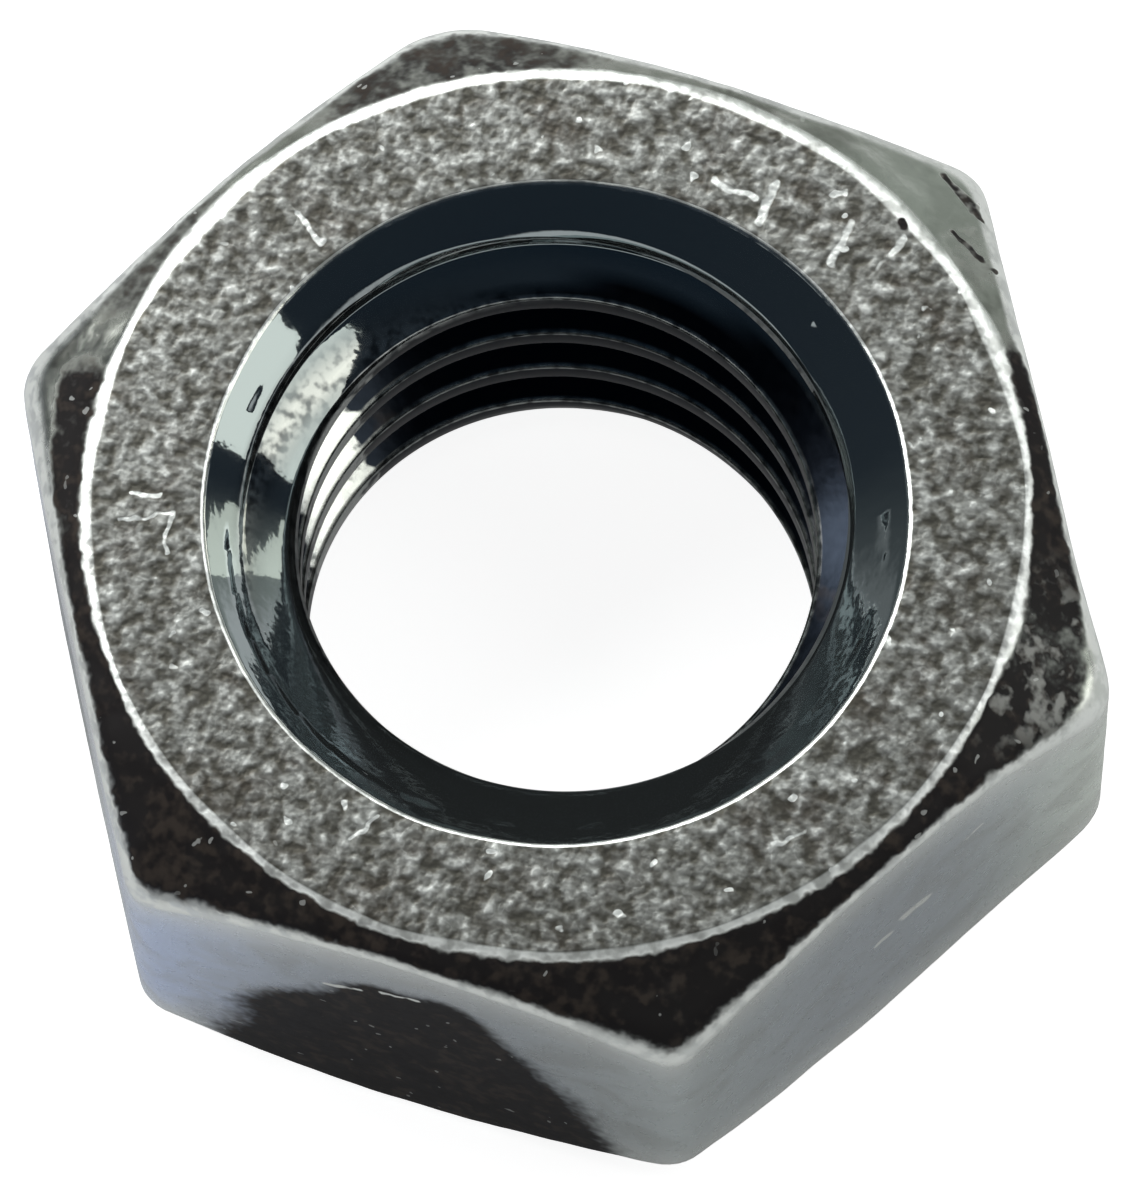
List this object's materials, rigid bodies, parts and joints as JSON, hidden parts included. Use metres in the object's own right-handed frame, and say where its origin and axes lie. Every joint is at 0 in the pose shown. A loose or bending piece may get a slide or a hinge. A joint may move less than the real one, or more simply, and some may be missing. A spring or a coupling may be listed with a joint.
{
  "type": "hex nut",
  "caption": "Double-chamfered hexagon nut with a coarse right-hand metric thread, in zinc-plated steel, for a bolt, screw or stud of the matching thread.",
  "frame": {"origin": "centre of the bottom bearing face, on the thread axis", "axes": "+Z along the thread axis, from the bottom bearing face to the top one; +X through two opposite corners of the hexagon; +Y square to a pair of flats"},
  "size_m": [0.0148, 0.013, 0.0063],
  "materials": {
    "zinc_plated_steel": "bright zinc plating, satin, worn a little on the bearing faces"
  },
  "bodies": {
    "root": {"hex_nut": "zinc_plated_steel"}
  },
  "joints": []
}
